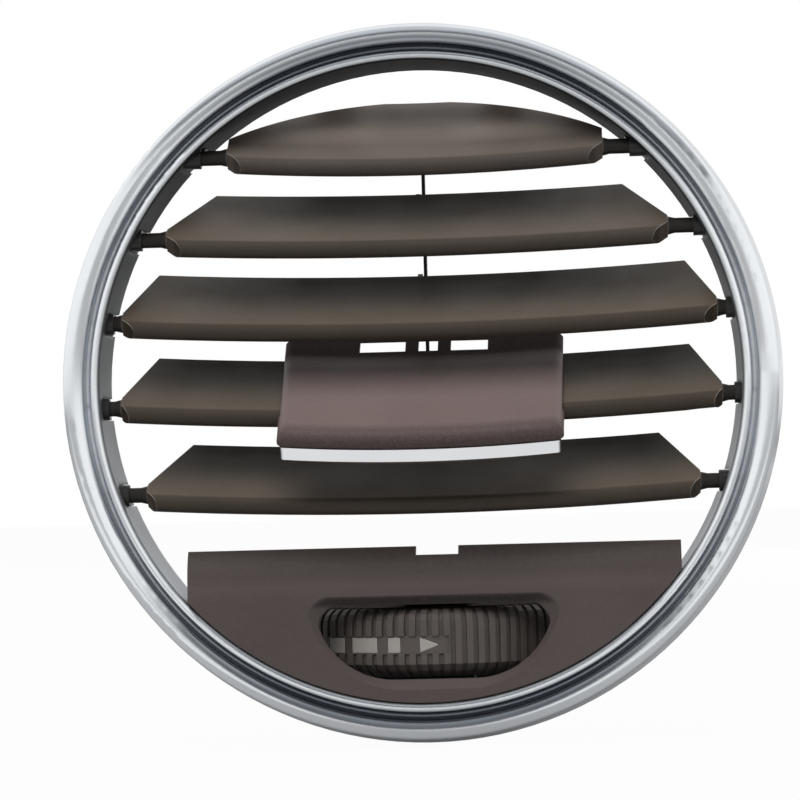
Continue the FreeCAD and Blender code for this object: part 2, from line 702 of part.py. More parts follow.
def panel():
    wall = panel_wall(PANEL_X - PANEL_HALF, PANEL_X + PANEL_HALF).common(throat_cone(PANEL_GAP))
    slot = slot_outline(0, PANEL_FACE_Y - 5).extrude(Vector(0, 12, 0))
    outer = slot_outline(SLOT_DISH, PANEL_FACE_Y - 0.01)
    inner = slot_outline(0, PANEL_FACE_Y + SLOT_DISH * 0.7)
    dish = Part.makeLoft([outer.OuterWire, inner.OuterWire], True, True)
    wall = wall.cut([slot, dish])
    notch_x = PANEL_X + NOTCH_X
    wall = wall.cut(box(notch_x - NOTCH_W / 2, notch_x + NOTCH_W / 2, PANEL_FACE_Y - 2, PANEL_FACE_Y + 10,
                        PANEL_TOP_Z - NOTCH_DEPTH, PANEL_TOP_Z + 1))
    wall = wall.fuse([at_angle(panel_leg(), a) for a in EAR_ANGLES])
    for x in (WHEEL_X - BRACKET_SCREW_X, WHEEL_X + BRACKET_SCREW_X):
        foot = Vector(x, PANEL_FACE_Y + PANEL_T - 0.2, BRACKET_SCREW_Z)
        hole_start = Vector(x, BRACKET_Y - BRACKET_SCREW_LENGTH + BRACKET_T - 0.2, BRACKET_SCREW_Z)
        wall = wall.fuse(Part.makeCylinder(BOSS_R, BOSS_H + 0.2, foot, Y_AXIS))
        wall = wall.cut(Part.makeCylinder(SCREW_R + SCREW_PLAY, BRACKET_SCREW_LENGTH, hole_start, Y_AXIS))
    return one_solid(wall)


def panel_leg():
    """Leg from the panel's back along the throat, with an ear on the carrier's rear step."""
    outer = THROAT_R - PANEL_GAP
    ear_back = EAR_T - EAR_RECESS
    leg = tube_y(outer - LEG_T, outer, PANEL_FACE_Y + 0.5, ear_back)
    ear = tube_y(outer - LEG_T, FLANGE_IN_R + EAR_ZONE - CARRIER_FIT, -EAR_RECESS, ear_back)
    hole = Part.makeCylinder(SCREW_R + SCREW_PLAY, EAR_T + 1, Vector(EAR_SCREW_R, -EAR_RECESS - 0.5, 0), Y_AXIS)
    return leg.fuse(ear).common(sector(EAR_W / 2)).cut(hole)


# Thumbwheel

def rim_line(radius):
    """Outer line of the rim from its top shoulder to its tapered lower edge."""
    return [
        (radius - SHOULDER, WHEEL_TOP_Z),
        (radius - SHOULDER * 0.55, WHEEL_TOP_Z - SHOULDER * 0.12),
        (radius - SHOULDER * 0.22, WHEEL_TOP_Z - SHOULDER * 0.40),
        (radius - SHOULDER * 0.05, WHEEL_TOP_Z - SHOULDER * 0.75),
        (radius, WHEEL_TOP_Z - SHOULDER * 1.2),
        (radius, WHEEL_BOTTOM_Z + TAPER_H),
        (radius - TAPER_W * 0.33, WHEEL_BOTTOM_Z + TAPER_H * 0.52),
        (radius - TAPER_W, WHEEL_BOTTOM_Z),
    ]


def wheel_turn(points, start, sweep):
    """Turn a section of radius and z pairs about the wheel's axis; 0 degrees faces the driver."""
    face = face_from([Vector(r, 0, z) for r, z in points])
    face.rotate(Vector(0, 0, 0), Z_AXIS, start - 90)
    return face.revolve(Vector(0, 0, 0), Z_AXIS, sweep)


def ridge(angle):
    """Straight ridge over the rim's whole height."""
    line = rim_line(WHEEL_R)
    section = line + [(WHEEL_R - TAPER_W - 0.6, WHEEL_BOTTOM_Z), (WHEEL_R - TAPER_W - 0.6, WHEEL_TOP_Z)]
    face = face_from([Vector(0, -r, z) for r, z in section])
    bar = face.extrude(Vector(RIDGE_W, 0, 0))
    bar.translate(Vector(-RIDGE_W / 2, 0, 0))
    bar.rotate(Vector(0, 0, 0), Z_AXIS, angle)
    return bar


def thumbwheel():
    line = rim_line(WHEEL_R - RIDGE_H)
    inner = WHEEL_R - RIDGE_H - WHEEL_WALL
    web_z = WHEEL_TOP_Z - WHEEL_WEB_T
    section = [(AXLE_R + 1, WHEEL_TOP_Z)] + line
    section += [(inner - 1.2, WHEEL_BOTTOM_Z), (inner, WHEEL_BOTTOM_Z + TAPER_H), (inner, web_z), (AXLE_R + 1, web_z)]
    rim = wheel_turn(section, -WHEEL_SECTOR, 2 * WHEEL_SECTOR)
    count = int(WHEEL_SECTOR / RIDGE_PITCH)
    rim = rim.fuse([ridge(step * RIDGE_PITCH) for step in range(-count, count + 1)])
    land = [(WHEEL_R - 1.5, BAND_TOP_Z), (WHEEL_R + 1.5, BAND_TOP_Z), (WHEEL_R + 1.5, BAND_BOTTOM_Z),
            (WHEEL_R - 1.5, BAND_BOTTOM_Z)]
    skin = [(min(r, WHEEL_R - BAND_DROP), z) for r, z in land]
    rim = rim.cut(wheel_turn(land, -WHEEL_SECTOR - 1, WHEEL_SECTOR + 1 + BAND_END))
    rim = rim.fuse(wheel_turn(skin, -WHEEL_SECTOR, WHEEL_SECTOR + BAND_END))
    hub_h = WHEEL_H - WASHER_T - WASHER_ROOM
    hub = Part.makeCylinder(HUB_R, hub_h, Vector(0, 0, WHEEL_TOP_Z - hub_h), Z_AXIS)
    peg = Part.makeCylinder(PEG_R, PEG_H + 0.1, Vector(PEG_SEAT, -HUB_R, web_z - PEG_H), Z_AXIS)
    bore = Part.makeCylinder(AXLE_R + AXLE_PLAY, WHEEL_H + 2, Vector(0, 0, WHEEL_BOTTOM_Z - 1), Z_AXIS)
    wheel = rim.fuse([hub, peg]).cut(bore)
    wheel.translate(Vector(WHEEL_X, WHEEL_AXIS_Y, 0))
    return one_solid(wheel)


def wheel_axle():
    foot = BRACKET_LOW_Z - BRACKET_T
    head = BRACKET_TOP_Z + BRACKET_T
    rod = Part.makeCylinder(AXLE_R, head - foot, Vector(WHEEL_X, WHEEL_AXIS_Y, foot), Z_AXIS)
    cap = Part.makeCylinder(AXLE_R + 1.0, AXLE_HEAD, Vector(WHEEL_X, WHEEL_AXIS_Y, head), Z_AXIS)
    return one_solid(rod.fuse(cap))


def wheel_bracket():
    """Housing behind the wheel: two arms that hold the axle, a closed rear wall, a screwed flange."""
    x0 = WHEEL_X - BRACKET_HALF
    x1 = WHEEL_X + BRACKET_HALF
    wall_y = WHEEL_AXIS_Y + HUB_R + 1.0
    foot = BRACKET_LOW_Z - BRACKET_T
    head = BRACKET_TOP_Z + BRACKET_T
    top_arm = box(x0, x1, BRACKET_Y, wall_y + BRACKET_T, BRACKET_TOP_Z, head)
    low_arm = box(x0, x1, WHEEL_AXIS_Y - 2 * HUB_R, wall_y + BRACKET_T, foot, BRACKET_LOW_Z)
    rear_wall = box(WHEEL_X - BRACKET_WALL_HALF, WHEEL_X + BRACKET_WALL_HALF, wall_y, wall_y + BRACKET_T, foot, head)
    round_edge = Part.makeCylinder(FLANGE_IN_R + BRACKET_EDGE, 2 * RING_R, Vector(0, -RING_R, 0), Y_AXIS)
    flange = box(WHEEL_X - BRACKET_FLANGE_HALF, WHEEL_X + BRACKET_FLANGE_HALF, BRACKET_Y, BRACKET_Y + BRACKET_T,
                 BRACKET_TOP_Z, BRACKET_TOP_Z + BRACKET_FLANGE_H)
    body = top_arm.fuse([low_arm, rear_wall.common(round_edge), flange])
    body = body.cut(Part.makeCylinder(AXLE_R, 2 * RING_R, Vector(WHEEL_X, WHEEL_AXIS_Y, -2 * RING_R), Z_AXIS))
    for side in (-1, 1):
        start = Vector(WHEEL_X + side * BRACKET_SCREW_X, BRACKET_Y - 1, BRACKET_SCREW_Z)
        body = body.cut(Part.makeCylinder(SCREW_R + SCREW_PLAY, BRACKET_T + 2, start, Y_AXIS))
    return one_solid(body)


def wheel_washer():
    """Spring washer under the hub that gives the wheel its drag."""
    foot = Vector(WHEEL_X, WHEEL_AXIS_Y, WHEEL_BOTTOM_Z)
    outer = Part.makeCylinder(HUB_R - 0.4, WASHER_T, foot, Z_AXIS)
    return outer.cut(Part.makeCylinder(AXLE_R + AXLE_PLAY, WASHER_T, foot, Z_AXIS))


# Fasteners

def screw(tip, length):
    """Pan head screw along Y with its head at the rear; tip is the front end."""
    shank = Part.makeCylinder(SCREW_R, length, tip, Y_AXIS)
    head = Part.makeCylinder(SCREW_HEAD_R, SCREW_HEAD_T, tip + Vector(0, length, 0), Y_AXIS)
    reach = SCREW_HEAD_R * 0.6
    back = tip.y + length + SCREW_HEAD_T
    slot = box(tip.x - reach, tip.x + reach, back - SCREW_HEAD_T / 2, back + 1, tip.z - 0.2, tip.z + 0.2)
    cross = box(tip.x - 0.2, tip.x + 0.2, back - SCREW_HEAD_T / 2, back + 1, tip.z - reach, tip.z + reach)
    return one_solid(shank.fuse(head).cut([slot, cross]))


def ring_screws():
    length = RING_SCREW_LENGTH - 1.0
    tip = Vector(SCREW_RING_R, -SCREW_HEAD_T - SCREW_SINK - length, 0)
    return Part.makeCompound([at_angle(screw(tip, length), a) for a in RING_SCREW_ANGLES])


def panel_screws():
    tip = Vector(EAR_SCREW_R, EAR_T - EAR_RECESS - EAR_SCREW_LENGTH, 0)
    return Part.makeCompound([at_angle(screw(tip, EAR_SCREW_LENGTH), a) for a in EAR_ANGLES])


def bracket_screws():
    y = BRACKET_Y + BRACKET_T - BRACKET_SCREW_LENGTH
    places = [Vector(WHEEL_X + side * BRACKET_SCREW_X, y, BRACKET_SCREW_Z) for side in (-1, 1)]
    return Part.makeCompound([screw(place, BRACKET_SCREW_LENGTH) for place in places])


def write(node, shape):
    shape.exportStep("parts/" + node + ".step")


def main():
    os.makedirs("parts", exist_ok=True)
    write("chrome_ring", chrome_ring())
    write("carrier_ring", carrier_ring())
    for index in range(SLAT_COUNT):
        write("slat_%d" % (index + 1), slat(index))
    write("slat_bushes", slat_bushes())
    write("link_bar", link_bar())
    write("tab_cover", tab_cover())
    write("tab_trim", tab_trim())
    write("tab_base", tab_base())
    write("tab_pad", tab_pad())
    write("lower_panel", panel())
    write("thumbwheel", thumbwheel())
    write("wheel_axle", wheel_axle())
    write("wheel_bracket", wheel_bracket())
    write("wheel_washer", wheel_washer())
    write("ring_screws", ring_screws())
    write("panel_screws", panel_screws())
    write("bracket_screws", bracket_screws())


main()
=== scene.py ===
import math

import bmesh
import bpy
from mathutils import Matrix, Vector


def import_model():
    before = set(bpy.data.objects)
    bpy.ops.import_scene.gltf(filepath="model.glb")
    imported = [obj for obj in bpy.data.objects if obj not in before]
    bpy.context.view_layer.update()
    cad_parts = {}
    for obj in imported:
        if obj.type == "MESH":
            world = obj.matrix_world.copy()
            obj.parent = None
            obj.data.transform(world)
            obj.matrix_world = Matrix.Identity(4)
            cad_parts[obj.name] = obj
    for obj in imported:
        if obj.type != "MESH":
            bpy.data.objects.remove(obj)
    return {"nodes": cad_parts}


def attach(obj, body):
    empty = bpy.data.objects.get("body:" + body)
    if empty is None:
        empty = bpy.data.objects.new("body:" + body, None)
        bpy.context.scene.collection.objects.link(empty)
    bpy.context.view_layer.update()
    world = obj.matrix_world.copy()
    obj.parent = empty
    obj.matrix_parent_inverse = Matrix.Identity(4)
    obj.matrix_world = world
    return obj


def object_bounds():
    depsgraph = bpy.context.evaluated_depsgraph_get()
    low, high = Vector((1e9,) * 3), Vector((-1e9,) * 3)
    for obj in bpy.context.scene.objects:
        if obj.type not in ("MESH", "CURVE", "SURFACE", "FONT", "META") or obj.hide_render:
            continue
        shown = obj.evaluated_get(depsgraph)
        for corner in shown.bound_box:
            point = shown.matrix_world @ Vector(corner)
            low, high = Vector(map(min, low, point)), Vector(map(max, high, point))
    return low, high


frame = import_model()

# Round dashboard air vent grille: materials, printed marks, floor, light and camera around the CAD model.
# Lengths are in metres. +X right, -Y towards the driver, +Z up; the ring's axis is the Y axis.

CAD_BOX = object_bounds()
NODES = frame["nodes"]


class Nodes:
    """Adds shader nodes to one node tree."""

    def __init__(self, tree):
        self.tree = tree
        self.tree.nodes.clear()

    def add(self, kind, **props):
        node = self.tree.nodes.new(kind)
        for key, value in props.items():
            setattr(node, key, value)
        return node

    def link(self, a, b):
        self.tree.links.new(a, b)

    def span(self, value, a, b, lo=0.0, hi=1.0):
        """Maps a..b to lo..hi and holds the ends."""
        node = self.add("ShaderNodeMapRange")
        node.inputs["From Min"].default_value = a
        node.inputs["From Max"].default_value = b
        node.inputs["To Min"].default_value = lo
        node.inputs["To Max"].default_value = hi
        self.link(value, node.inputs["Value"])
        return node.outputs[0]

    def window(self, value, rise, fall):
        """1 between two limits, each given as a soft step's 0 end and 1 end."""
        return self.product(self.span(value, *rise), self.span(value, *fall))

    def ramp(self, value, stops):
        node = self.add("ShaderNodeValToRGB")
        ramp = node.color_ramp
        while len(ramp.elements) < len(stops):
            ramp.elements.new(0.5)
        for element, (pos, color) in zip(ramp.elements, stops):
            element.position = pos
            element.color = (*color, 1)
        self.link(value, node.inputs["Fac"])
        return node.outputs["Color"]

    def math(self, op, a, b=None):
        node = self.add("ShaderNodeMath", operation=op)
        for value, sock in ((a, node.inputs[0]), (b, node.inputs[1])):
            if value is None:
                continue
            if isinstance(value, (int, float)):
                sock.default_value = value
            else:
                self.link(value, sock)
        return node.outputs[0]

    def product(self, a, b):
        return self.math("MULTIPLY", a, b)

    def size(self, value):
        return self.math("ABSOLUTE", value)

    def blend(self, fac, a, b):
        """Mixes two shaders."""
        node = self.add("ShaderNodeMixShader")
        for value, sock in zip((fac, a, b), node.inputs):
            self.link(value, sock)
        return node.outputs[0]


class Mat(Nodes):
    """A procedural material built on one Principled shader."""

    def __init__(self, name):
        self.mat = bpy.data.materials.new(name)
        self.mat.use_nodes = True
        super().__init__(self.mat.node_tree)
        self.out = self.add("ShaderNodeOutputMaterial")
        self.bsdf = self.add("ShaderNodeBsdfPrincipled")
        self.link(self.bsdf.outputs[0], self.out.inputs["Surface"])
        self.coord = self.add("ShaderNodeTexCoord").outputs["Object"]

    def set(self, **values):
        for key, value in values.items():
            sock = self.bsdf.inputs[key.replace("_", " ")]
            if hasattr(value, "links"):
                self.link(value, sock)
            else:
                sock.default_value = value

    def noise(self, scale, detail=4.0, rough=0.55):
        node = self.add("ShaderNodeTexNoise")
        node.inputs["Scale"].default_value = scale
        node.inputs["Detail"].default_value = detail
        node.inputs["Roughness"].default_value = rough
        self.link(self.coord, node.inputs["Vector"])
        return node.outputs["Fac"]

    def voronoi(self, scale):
        node = self.add("ShaderNodeTexVoronoi")
        node.inputs["Scale"].default_value = scale
        self.link(self.coord, node.inputs["Vector"])
        return node.outputs["Distance"]

    def cloudy(self, scale, dark, light):
        """Faint clouds between two tones."""
        return self.ramp(self.noise(scale, 5.0, 0.6), [(0.3, dark), (0.7, light)])

    def mix(self, fac, a, b, mode="MIX"):
        node = self.add("ShaderNodeMix", data_type="RGBA", blend_type=mode)
        if isinstance(fac, float):
            node.inputs[0].default_value = fac
        else:
            self.link(fac, node.inputs[0])
        for value, sock in ((a, node.inputs[6]), (b, node.inputs[7])):
            if isinstance(value, tuple):
                sock.default_value = (*value, 1)
            else:
                self.link(value, sock)
        return node.outputs[2]

    def axis(self, which):
        node = self.add("ShaderNodeSeparateXYZ")
        self.link(self.coord, node.inputs[0])
        return node.outputs[which]

    def radius(self):
        """Distance from the ring's axis."""
        x = self.axis(0)
        z = self.axis(2)
        return self.math("SQRT", self.math("ADD", self.product(x, x), self.product(z, z)))

    def soft_normal(self, reach):
        node = self.add("ShaderNodeBevel", samples=8)
        node.inputs["Radius"].default_value = reach
        return node.outputs[0]

    def edges(self, reach):
        """1 on sharp edges and 0 on plain faces."""
        dot = self.add("ShaderNodeVectorMath", operation="DOT_PRODUCT")
        self.link(self.soft_normal(reach), dot.inputs[0])
        self.link(self.add("ShaderNodeNewGeometry").outputs["Normal"], dot.inputs[1])
        return self.span(dot.outputs["Value"], 0.995, 0.88)

    def bump(self, height, strength, distance, soft=None):
        """Bump over the plain normal, or over one rounded within the soft radius."""
        node = self.add("ShaderNodeBump")
        node.inputs["Strength"].default_value = strength
        node.inputs["Distance"].default_value = distance
        self.link(height, node.inputs["Height"])
        if soft:
            self.link(self.soft_normal(soft), node.inputs["Normal"])
        self.link(node.outputs[0], self.bsdf.inputs["Normal"])


# Plastics

CLOUD = 55.0
GRAIN_DEPTH = 0.00012
PIN_Y = -0.0086
BLADE_Y, BLADE_Z = 0.848, 0.530     # direction of a blade at rest, from its nose to its rear
TAB_LIE = (-0.00283, 1 / 7)         # height of the tab's slat, radius of the tab's bowed front
WHEEL_SHOULDER_Z = -0.0331
# Tone of the painted highlight (glint) on the edges at the blade ends.
PAINTED_GLINT_TONE = (0.42, 0.39, 0.36)
PIN_TONE = (0.020, 0.018, 0.016)


def scaled(color, factor, lift=0.0):
    return tuple(min(1.0, c * factor + lift) for c in color)


def along_blade(m, height, plan):
    """Distance behind the pin along a blade at rest, less the bow of its plan."""
    chord = m.math("ADD", m.product(m.math("SUBTRACT", m.axis(1), PIN_Y), BLADE_Y),
                   m.product(m.math("SUBTRACT", m.axis(2), height), BLADE_Z))
    x = m.axis(0)
    return m.math("SUBTRACT", chord, m.product(m.product(x, x), 0.5 / plan))


def plastic(name, dark, light, rough=0.45, grain=1400.0, strength=0.12, specular=0.4, soft=0.00022,
            shade=None, paint=None, gloss=None):
    """Moulded plastic: fine spark-eroded grain, faint clouding, rounded and slightly worn edges.

    shade gives a tone of painted light and shade that multiplies the base, paint works over it, and gloss
    replaces specular.
    """
    m = Mat(name)
    base = m.cloudy(CLOUD, dark, light)
    if shade:
        base = m.mix(1.0, base, shade(m), "MULTIPLY")
    speck = m.noise(grain * 1.7, 2.0, 0.5)
    base = m.mix(m.span(speck, 0.4, 0.75, 0.0, 0.16), base, scaled(light, 1.45))
    edge = m.edges(soft)
    rubbed = m.product(edge, m.span(m.noise(260.0), 0.4, 0.65, 0.05, 0.4))
    base = m.mix(rubbed, base, scaled(light, 1.5, 0.01))
    if paint:
        base = paint(m, base, edge)
    m.set(Base_Color=base)
    m.set(Roughness=m.span(m.noise(CLOUD * 2.3), 0.3, 0.7, rough - 0.05, rough + 0.07))
    m.set(Specular_IOR_Level=gloss(m) if gloss else specular)
    height = m.math("ADD", m.product(m.voronoi(grain), 0.6), m.noise(grain * 2.1, 2.0))
    m.bump(height, strength, GRAIN_DEPTH, soft)
    return m.mat


def slat_plastic(name, tones, end, height, plan, rear, fade):
    """A blade with a painted shade line under its nose, a painted glint on the edges near its ends, and black
    pins.

    rear is the tone of the rear half against the light tone: painted shade below 1 on the lower slats, and
    painted light on the top slat's rear. fade is where, as a share of the half length, the painted shade on the
    rear starts to fade; the painted light on the top slat's rear has none.
    """
    dark, light = tones
    specular = 0.22

    def rear_half(m):
        x = m.size(m.axis(0))
        chord = along_blade(m, height, plan)
        if fade is None:
            return m.product(m.span(chord, 0.0, 0.005), m.span(x, 0.004, 0.011, 0.45, 1.0))
        return m.product(m.span(chord, 0.0, 0.009), m.span(x, end * fade, end * (fade + 0.35), 1.0, 0.0))

    def paint(m, base, edge):
        x = m.size(m.axis(0))
        # Painted shade: the line under the nose is painted dark, where the nose faces down and away from the
        # light.
        nose = m.span(along_blade(m, height, plan), -0.0042, -0.0049, 0.0, 0.55)
        base = m.mix(nose, base, scaled(dark, 0.15))
        # Painted shade on the rear half of the lower slats, and painted light on the rear of the top slat.
        base = m.mix(rear_half(m), base, scaled(light, rear))
        # Painted highlight: a glint on the edges near the blade's ends.
        glint = m.product(edge, m.span(x, end - 0.0040, end - 0.0010, 0.0, 0.8))
        base = m.mix(glint, base, PAINTED_GLINT_TONE)
        return m.mix(m.span(x, end, end + 0.0005), base, PIN_TONE)

    def gloss(m):
        if fade is None:
            return specular
        return m.math("SUBTRACT", specular, m.product(rear_half(m), specular * 0.8))

    return plastic(name, dark, light, 0.46, grain=1700.0, specular=specular, paint=paint, gloss=gloss)


def tab_shade(m):
    """Painted shade on the tab's front lip, which faces down, and painted shadow of the slat above on its rear
    edge.
    """
    chord = along_blade(m, *TAB_LIE)
    tone = m.ramp(m.span(chord, -0.0144, -0.0108),
                  [(0.0, (0.36, 0.34, 0.34)), (0.60, (0.66, 0.65, 0.65)), (1.0, (1.0, 1.0, 1.0))])
    return m.mix(m.span(chord, 0.0065, 0.0092, 0.0, 0.65), tone, (0.15, 0.15, 0.15))


def tab_gloss(m):
    """The tab is matt behind its windows."""
    return m.span(along_blade(m, *TAB_LIE), 0.0060, 0.0085, 0.3, 0.02)


def panel_shade(m):
    """Painted shade on the rolled top edge, a painted highlight on the bend, and painted shadow in the dish
    above the wheel slot.
    """
    z = m.axis(2)
    tone = m.ramp(m.span(z, -0.0340, -0.0240),
                  [(0.25, (1.0, 1.0, 1.0)), (0.46, (1.18, 1.16, 1.16)), (0.62, (0.85, 0.85, 0.85)),
                   (0.85, (0.62, 0.62, 0.62)), (1.0, (0.70, 0.70, 0.70))])
    hollow = m.span(m.axis(1), -0.01198, -0.0117)
    above = m.window(z, (-0.0328, -0.0321), (-0.0308, -0.0311))
    return m.mix(m.product(m.product(hollow, above), 0.8), tone, (0.12, 0.12, 0.12))


def wheel_gloss(m):
    """The flat top of the wheel is matt."""
    return m.span(m.axis(2), WHEEL_SHOULDER_Z - 0.0002, WHEEL_SHOULDER_Z, 0.4, 0.0)


# Metals

def metal(name, dark, light, rough):
    """Plated or turned metal with faint handling marks."""
    m = Mat(name)
    m.set(Base_Color=m.cloudy(38.0, dark, light), Metallic=1.0)
    m.set(Roughness=m.span(m.noise(90.0, 6.0, 0.65), 0.3, 0.72, rough * 0.8, rough * 1.25))
    m.bump(m.noise(900.0, 3.0, 0.6), 0.03, 0.00004)
    return m.mat


def ring_plating():
    """Satin plating with bright rolled bands; painted shade in the groove, on the outer skirt and in the bore.
    """
    m = Mat("satin_chrome_ring")
    radius = m.radius()
    height = m.axis(2)
    tone = m.cloudy(30.0, (0.82, 0.85, 0.88), (0.88, 0.905, 0.93))
    # Painted shade: the outer skirt is painted a darker grey.
    skirt = m.span(radius, 0.0518, 0.0522)
    tone = m.mix(skirt, tone, (0.47, 0.50, 0.535))

    # Painted shade: the groove and the rise outside it are painted darkest at the top and at the bottom of the
    # ring.
    groove = m.window(radius, (0.04775, 0.0480), (0.0496, 0.0492))
    tone = m.mix(m.product(groove, m.span(m.size(height), 0.008, 0.044, 0.3, 1.0)), tone, (0.23, 0.25, 0.28))
    rise = m.window(radius, (0.0491, 0.0494), (0.0505, 0.0500))
    tone = m.mix(m.product(rise, m.span(m.size(height), 0.034, 0.047, 0.0, 0.8)), tone, (0.20, 0.22, 0.25))

    # Painted shade: the bore's tone is painted dark at the top, where it is also matt, and turns lighter towards
    # bare plating at the bottom.
    bore = m.span(radius, 0.0472, 0.0469)
    level = m.span(height, -0.046, 0.046)
    tone = m.mix(bore, tone, m.ramp(level, [(0.15, (0.40, 0.42, 0.44)), (0.55, (0.13, 0.14, 0.14)),
                                            (0.86, (0.022, 0.022, 0.023))]))
    matt = m.product(bore, m.span(level, 0.30, 0.75, 0.3, 1.0))
    m.set(Base_Color=tone, Metallic=m.math("SUBTRACT", 1.0, matt))
    m.set(Specular_IOR_Level=m.math("SUBTRACT", 0.5, m.product(matt, 0.42)))
    smear = m.span(m.noise(90.0, 6.0, 0.65), 0.3, 0.72, 0.16, 0.25)
    m.set(Roughness=m.math("ADD", smear, m.product(bore, 0.3)))
    m.bump(m.noise(700.0, 3.0, 0.6), 0.03, 0.00004, soft=0.0008)
    return m.mat


M_STEEL = metal("zinc_steel", (0.42, 0.42, 0.43), (0.55, 0.55, 0.56), 0.32)
M_BLACK = plastic("black_moulding", (0.012, 0.011, 0.011), (0.022, 0.021, 0.02), 0.42)
M_MARK = plastic("mark_print", (0.34, 0.315, 0.29), (0.42, 0.39, 0.36), 0.5, grain=2600.0, strength=0.05)

LOOK = {
    "chrome_ring": ring_plating(),
    "tab_cover": plastic("tab_plastic", (0.146, 0.108, 0.102), (0.165, 0.123, 0.116), 0.44,
                         shade=tab_shade, gloss=tab_gloss),
    "tab_trim": metal("bright_trim", (0.74, 0.75, 0.77), (0.82, 0.825, 0.84), 0.14),
    "tab_base": plastic("tab_lower_plastic", (0.070, 0.054, 0.045), (0.084, 0.065, 0.055), 0.45),
    "tab_pad": plastic("pad_rubber", (0.02, 0.02, 0.02), (0.035, 0.034, 0.033), 0.7),
    "lower_panel": plastic("panel_plastic", (0.080, 0.063, 0.060), (0.094, 0.075, 0.071), 0.48,
                           specular=0.3, shade=panel_shade),
    "thumbwheel": plastic("wheel_rubber", (0.078, 0.066, 0.060), (0.103, 0.088, 0.080), 0.5,
                          soft=0.00012, gloss=wheel_gloss),
}
for name in ("carrier_ring", "slat_bushes", "link_bar", "wheel_bracket"):
    LOOK[name] = M_BLACK
for name in ("wheel_axle", "wheel_washer", "ring_screws", "panel_screws", "bracket_screws"):
    LOOK[name] = M_STEEL

# Blade tones: the top and second slats are painted lighter than the lower ones, as painted light.
TOP_TONES_PAINTED_LIGHT = ((0.112, 0.092, 0.078), (0.134, 0.111, 0.095))
MID_TONES_PAINTED_LIGHT = ((0.088, 0.070, 0.055), (0.106, 0.085, 0.067))
LOW_TONES = ((0.080, 0.062, 0.046), (0.096, 0.075, 0.057))
# Tones, half length of the blade, pin height, radius of the bow in plan, painted tone of the rear (painted light
# above 1, painted shade below 1), fade
SLATS = (
    (TOP_TONES_PAINTED_LIGHT, 0.0272, 0.0335, 0.160, 2.6, None),
    (MID_TONES_PAINTED_LIGHT, 0.0364, 0.0217, 0.320, 0.30, 0.4),
    (LOW_TONES, 0.0432, 0.00959, 0.320, 0.30, 0.4),
    (LOW_TONES, 0.0436, -0.00283, 0.320, 0.25, 0.8),
    (LOW_TONES, 0.0401, -0.01556, 0.320, 0.20, 0.8),
)
for number, slat in enumerate(SLATS, 1):
    LOOK["slat_%d" % number] = slat_plastic("slat_plastic_%d" % number, *slat)

for name, material in LOOK.items():
    NODES[name].data.materials.clear()
    NODES[name].data.materials.append(material)


# Marks printed on the thumbwheel

WHEEL_AXIS = (0.0013, 0.0106)
BAND_R = 0.02178
MARK_DEPTH = 0.00012
MARK_STEPS = 10
MARK_TOP = -0.0372
MARK_LOW = -0.0394
MARK_MID = (MARK_TOP + MARK_LOW) / 2
ARROW_TIP = 0.00008


def mark(name, start, end):
    """Thin curved patch on the wheel's smooth band; each end is an angle in degrees, a top and a bottom."""
    mesh = bpy.data.meshes.new(name)
    bm = bmesh.new()
    rows = []
    for i in range(MARK_STEPS + 1):
        t = i / MARK_STEPS
        degrees, top, low = (a + t * (b - a) for a, b in zip(start, end))
        angle = math.radians(degrees)
        row = []
        for r in (BAND_R, BAND_R - MARK_DEPTH):
            x = WHEEL_AXIS[0] + r * math.sin(angle)
            y = WHEEL_AXIS[1] - r * math.cos(angle)
            row.append(bm.verts.new((x, y, top)))
            row.append(bm.verts.new((x, y, low)))
        rows.append(row)
    for a, b in zip(rows, rows[1:]):
        bm.faces.new((a[0], a[1], b[1], b[0]))
        bm.faces.new((a[2], b[2], b[3], a[3]))
        bm.faces.new((a[0], b[0], b[2], a[2]))
        bm.faces.new((a[1], a[3], b[3], b[1]))
    for row in (rows[0], rows[-1]):
        bm.faces.new((row[0], row[2], row[3], row[1]))
    bmesh.ops.recalc_face_normals(bm, faces=bm.faces)
    bm.to_mesh(mesh)
    bm.free()
    mesh.materials.append(M_MARK)
    obj = bpy.data.objects.new(name, mesh)
    bpy.context.scene.collection.objects.link(obj)
    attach(obj, "wheel_body")


mark("mark_bar_short", (-46.5, MARK_TOP, MARK_LOW), (-38.5, MARK_TOP, MARK_LOW))
mark("mark_bar_long", (-34.5, MARK_TOP, MARK_LOW), (-23.3, MARK_TOP, MARK_LOW))
mark("mark_bar_middle", (-18.7, MARK_TOP, MARK_LOW), (-13.8, MARK_TOP, MARK_LOW))
mark("mark_arrow", (-6.0, MARK_TOP, MARK_LOW), (0.9, MARK_MID + ARROW_TIP, MARK_MID - ARROW_TIP))


# Floor, light and camera

FLOOR_HALF = 3.0
FLOOR_GAP = 0.0001
CAMERA_GLOW = 0.97
FLOOR_SHINE = 0.12
PATCH_SHINE = 0.75


